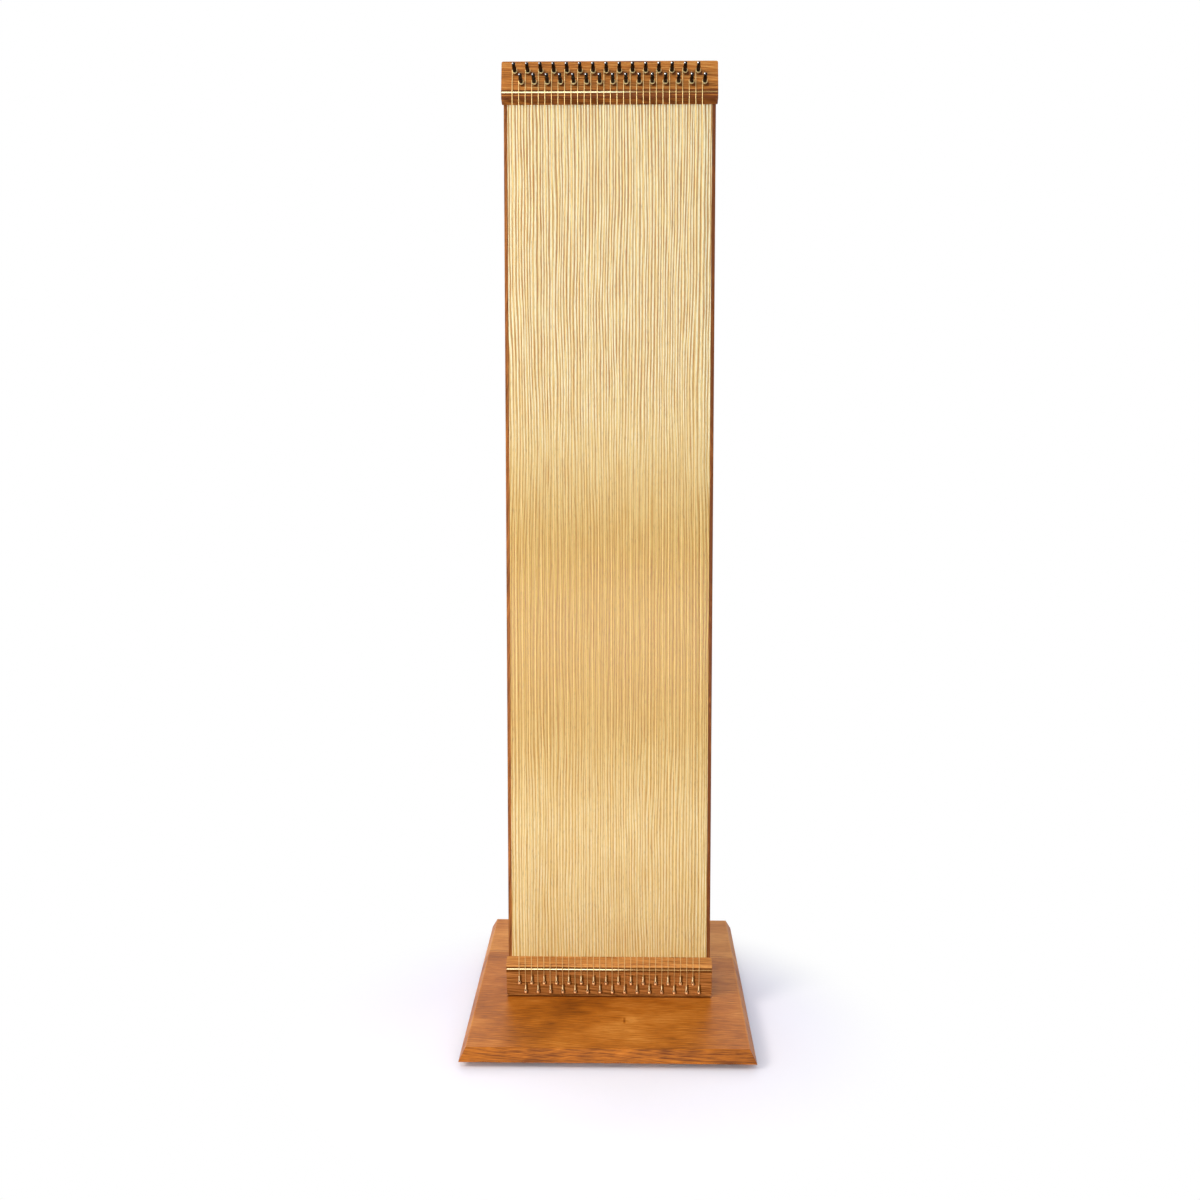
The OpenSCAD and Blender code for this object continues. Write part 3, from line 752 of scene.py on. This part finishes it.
# the wire of one string, and how many of its points come before the twist
def stringPath(i):
    foot = pins[i][1]
    atPin = pinMatrix(foot)
    # the string's own turn lies flat, and the turns on the pin are clear above it
    ownTurn = 2 * math.pi * wire["ownTurn"]
    turnSteps = 26
    path = [atPin @ coilPoint(ownTurn * (1 - k / turnSteps), 0.0) for k in range(turnSteps + 1)]
    leave = path[-1]
    path += overRod(topRod, overRadius, leave, leave.x)
    hitchNode = "upper_hitch_pins" if i % 2 == 0 else "lower_hitch_pins"
    atHitch = hitchMatrix(hitchFoot(hitchNode, foot.x))
    lift = wire["loopLift"]
    twistFoot = 2.1 * wire["loopRadius"]
    twistTop = wire["loopRadius"] + wire["twistLength"]
    end = atHitch @ Vector((0, twistTop, lift))
    path += list(reversed(overRod(lowRod, overRadius, end, foot.x)))
    plainPoints = len(path)

    # down the twist, round the hitch pin and back up
    turns = (twistTop - twistFoot) / wire["twistPitch"]
    stepsPerTurn = 8
    steps = int(turns * stepsPerTurn)
    spread = 5                                   # steps over which the strand going down leaves the axis

    def strand(k, down):
        along = twistTop + (twistFoot - twistTop) * k / steps
        angle = 2 * math.pi * turns * (k / steps - 1) + (0 if down else math.pi)
        r = wire["twistRadius"] * (min(1, k / spread) if down else 1)
        return atHitch @ Vector((r * math.cos(angle), along, lift + r * math.sin(angle)))

    path += [strand(k, True) for k in range(steps + 1)]
    r = wire["loopRadius"]
    meet = math.acos(r / twistFoot)
    first, last = math.pi / 2 - meet, -math.pi * 1.5 + meet
    loopSteps = 20
    for k in range(loopSteps + 1):
        angle = first + (last - first) * k / loopSteps
        path.append(atHitch @ Vector((r * math.cos(angle), r * math.sin(angle), lift)))
    path += [strand(k, False) for k in range(steps, -1, -1)]
    return path, plainPoints


def makeStrings():
    for parity, node in ((0, "upper_row_strings"), (1, "lower_row_strings")):
        verts, faces, bright = [], [], []
        for i in range(parity, len(pins), 2):
            path, plainPoints = stringPath(i)
            sweepTube(path, wire["radius"], wire["sides"], verts, faces)
            bright += [0] * (plainPoints * wire["sides"])
            bright += [1] * (len(faces) - len(bright))
        piece = makePiece(node + "_wire", verts, faces, [bronze, brightBronze], "frame", 60,
                          faceMaterials=bright)
        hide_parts(node)


makeStrings()
print("strings strung")


# the head is a tapered square with rounded corners; flats are measured from the axis
tuningPin = {
    "radius": 2.5 * mm, "out": 22 * mm, "depth": 26 * mm, "tipHeight": 1.2 * mm,
    "headFoot": 12 * mm, "flatFoot": 2.15 * mm, "flatTop": 1.87 * mm, "cornerTaper": 0.28 * mm,
    "domeRadius": 10 * mm, "chamfer": 0.93, "sides": 48,
}


def pinOutline(height, angle):
    look = tuningPin
    if height <= look["headFoot"]:
        return look["radius"]
    share = (height - look["headFoot"]) / (look["out"] - look["headFoot"])
    flat = look["flatFoot"] + (look["flatTop"] - look["flatFoot"]) * share
    corner = look["radius"] - look["cornerTaper"] * share
    quarter = (angle + math.pi / 4) % (math.pi / 2) - math.pi / 4
    return min(corner, flat / math.cos(quarter))


def makePinMesh():
    look = tuningPin
    verts, faces = [], []
    heights = [-look["depth"] + look["tipHeight"], 0.0, 2 * mm, 6 * mm, 10 * mm, 11.9 * mm, 12.0 * mm,
               12.15 * mm, 12.5 * mm, 15 * mm, 18 * mm, 21.3 * mm, 21.6 * mm]
    scales = [1.0] * (len(heights) - 1) + [look["chamfer"]]
    # the end is a shallow dome
    for share in (0.84, 0.7, 0.55, 0.4, 0.25, 0.12):
        heights.append(look["out"] - (share * look["radius"]) ** 2 / (2 * look["domeRadius"]))
        scales.append(share)
    sides = look["sides"]
    rings = [[len(verts)]]
    verts.append(Vector((0, 0, -look["depth"])))
    for height, scale in zip(heights, scales):
        rings.append(list(range(len(verts), len(verts) + sides)))
        for j in range(sides):
            angle = 2 * math.pi * j / sides
            r = pinOutline(height, angle) * scale
            verts.append(Vector((r * math.cos(angle), r * math.sin(angle), height)))
    rings.append([len(verts)])
    verts.append(Vector((0, 0, look["out"])))
    joinRings(rings, sides, faces)
    steelFaces = len(faces)

    # the wire's turns on the pin, and its end bent in towards the pin's middle
    start, end = 2 * math.pi * wire["coilStart"], 2 * math.pi * wire["coilEnd"]
    steps = 46
    turns = (end - start) / (2 * math.pi)
    clear = 2 * wire["radius"] + wire["coilClear"]
    bendFrom, bendIn = 0.9, 0.3
    path = []
    for k in range(steps + 1):
        share = k / steps
        rise = clear + wire["coilPitch"] * turns * share
        squeeze = 1 - bendIn * max(0, share - bendFrom) / (1 - bendFrom)
        path.append(coilPoint(start + (end - start) * share, rise, squeeze))
    sweepTube(path, wire["radius"], wire["sides"], verts, faces)
    return verts, faces, [0] * steelFaces + [1] * (len(faces) - steelFaces)


def makeTuningPins():
    verts, faces, faceMaterials = makePinMesh()
    for name, foot in pins:
        piece = makePiece(name + "_turned", verts, faces, [blued, bronze], name, 28, pinMatrix(foot),
                          faceMaterials)
        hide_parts(name)


makeTuningPins()
print("tuning pins set")


def makeHitchPins():
    shank, r, top, rim = hitch["radius"], hitch["headRadius"], hitch["lift"], hitch["rim"]
    foot, neck = -hitch["depth"], hitch["neck"]
    profile = [(0, foot), (hitch["tipRadius"], foot), (shank, foot + hitch["tipHeight"]),
               (shank, top - neck), (shank + neck, top), (r * 0.9, top + 0.08 * mm), (r, top + rim)]
    domeSteps = 8
    for k in range(1, domeSteps):
        angle = math.pi / 2 * k / domeSteps
        profile.append((r * math.cos(angle), top + rim + (r - rim) * math.sin(angle)))
    profile.append((0, top + r))
    for parity, node in ((0, "upper_hitch_pins"), (1, "lower_hitch_pins")):
        verts, faces = [], []
        for i in range(parity, len(pins), 2):
            lathe(profile, hitch["sides"], hitchMatrix(hitchFoot(node, pins[i][1].x)), verts, faces)
        piece = makePiece(node + "_domed", verts, faces, [copper], "frame", 50)
        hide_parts(node)


rods = {"endChamfer": 0.3 * mm, "sides": 40}


def makeRods():
    for node in ("top_bridge_rod", "bottom_bridge_rod"):
        centre, radius = rodCentre(node)
        low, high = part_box(node)
        lay = Matrix.Translation(centre) @ Matrix.Rotation(math.pi / 2, 4, "Y")
        ends = rods["endChamfer"]
        profile = [(0, low.x), (radius - ends, low.x), (radius, low.x + ends), (radius, high.x - ends),
                   (radius - ends, high.x), (0, high.x)]
        verts, faces = [], []
        lathe(profile, rods["sides"], lay, verts, faces)
        piece = makePiece(node + "_round", verts, faces, [brass], "frame", 30)
        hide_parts(node)


makeHitchPins()
makeRods()
print("hitch pins and rods set")

dress(["foot_screws", "column_screws"], zinc)

# boards get a slight rounding where tools and hands have broken their edges, this wide in mm
softEdges = {
    "base_front_board": 0.9, "base_rear_board": 0.9, "top_cap": 0.5, "soundboard": 0.3, "back_panel": 0.4,
    "left_side": 0.5, "right_side": 0.5,
}
for node, width in softEdges.items():
    weld = nodes[node].modifiers.new("joined faces", "WELD")
    weld.merge_threshold = 0.01 * mm
    bevel = nodes[node].modifiers.new("soft edges", "BEVEL")
    bevel.width = width * mm
    bevel.segments = 2
    bevel.vmesh_method = "CUTOFF"
    bevel.limit_method = "ANGLE"
    bevel.angle_limit = math.radians(30)
    bevel.use_clamp_overlap = node.startswith("base")    # keeps the plate inside its own outline
    flat = nodes[node].modifiers.new("flat faces", "WEIGHTED_NORMAL")
    flat.weight = 100
    flat.keep_sharp = False
for piece in nodes.values():
    if piece.type == "MESH":
        piece.data.shade_smooth()
        piece.data.set_sharp_from_angle(angle=math.radians(30))
print("edges softened")
